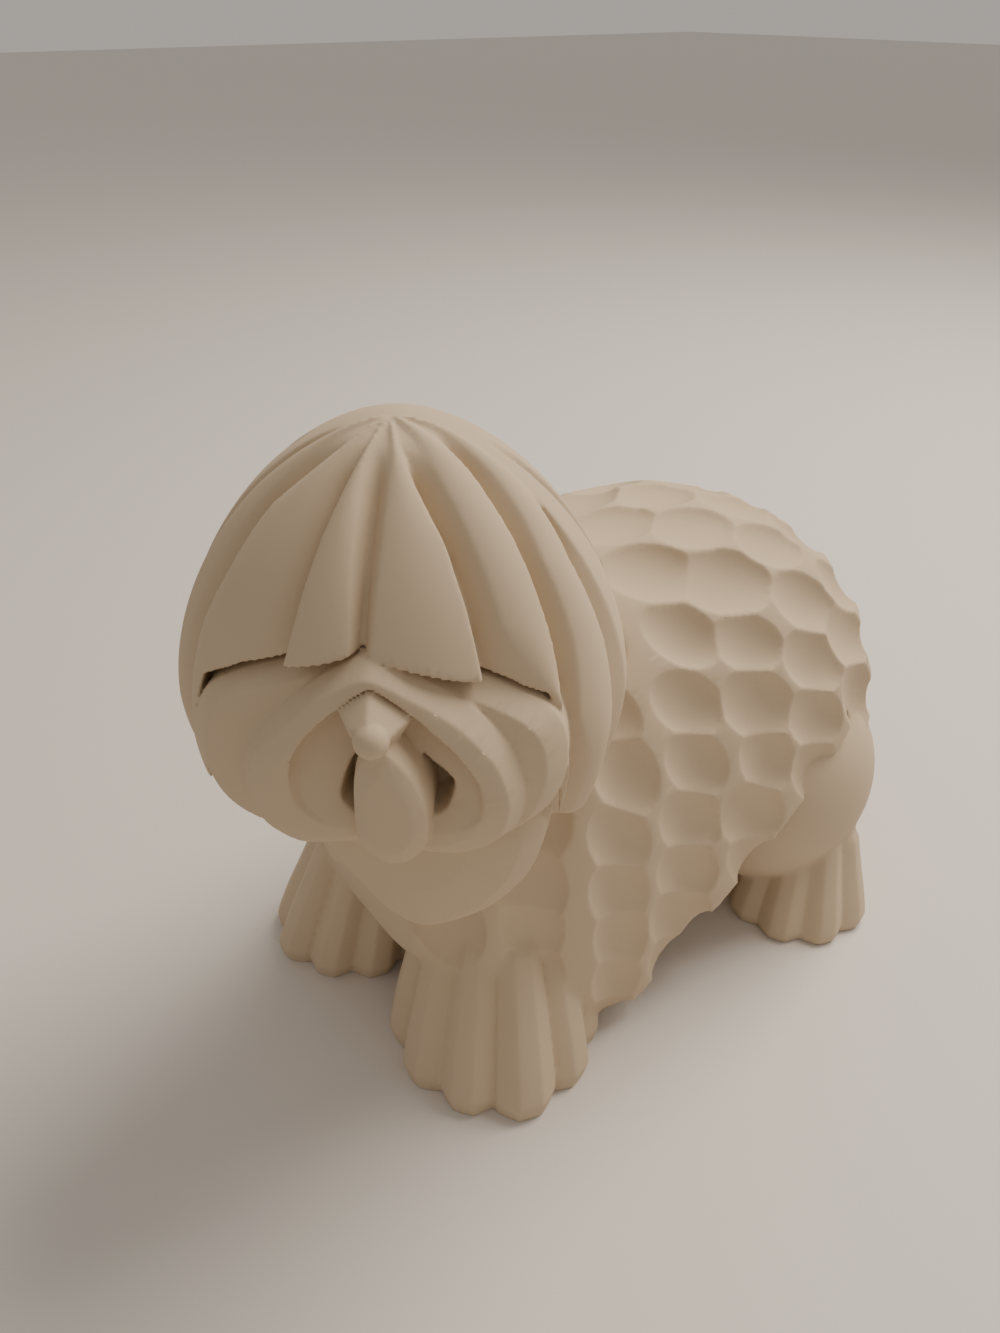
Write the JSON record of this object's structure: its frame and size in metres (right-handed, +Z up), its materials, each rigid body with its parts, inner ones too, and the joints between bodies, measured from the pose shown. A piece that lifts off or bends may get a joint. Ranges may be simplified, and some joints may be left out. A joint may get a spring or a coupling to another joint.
{
  "type": "ceramic sheepdog figurine",
  "caption": "Small hand-carved stoneware sheepdog that stands on its own feet, with a glazed fringe over its eyes, its head turned to its left and its tongue out.",
  "frame": {"origin": "on the floor under the middle of the figurine's box, between its feet", "axes": "+Z up; the dog's body faces -Y and its left side is +X; the head is turned about 47 degrees towards +X"},
  "size_m": [0.0733, 0.1184, 0.1],
  "materials": {
    "stoneware": "matte"
  },
  "bodies": {
    "root": {"sheepdog": "stoneware"}
  },
  "joints": []
}
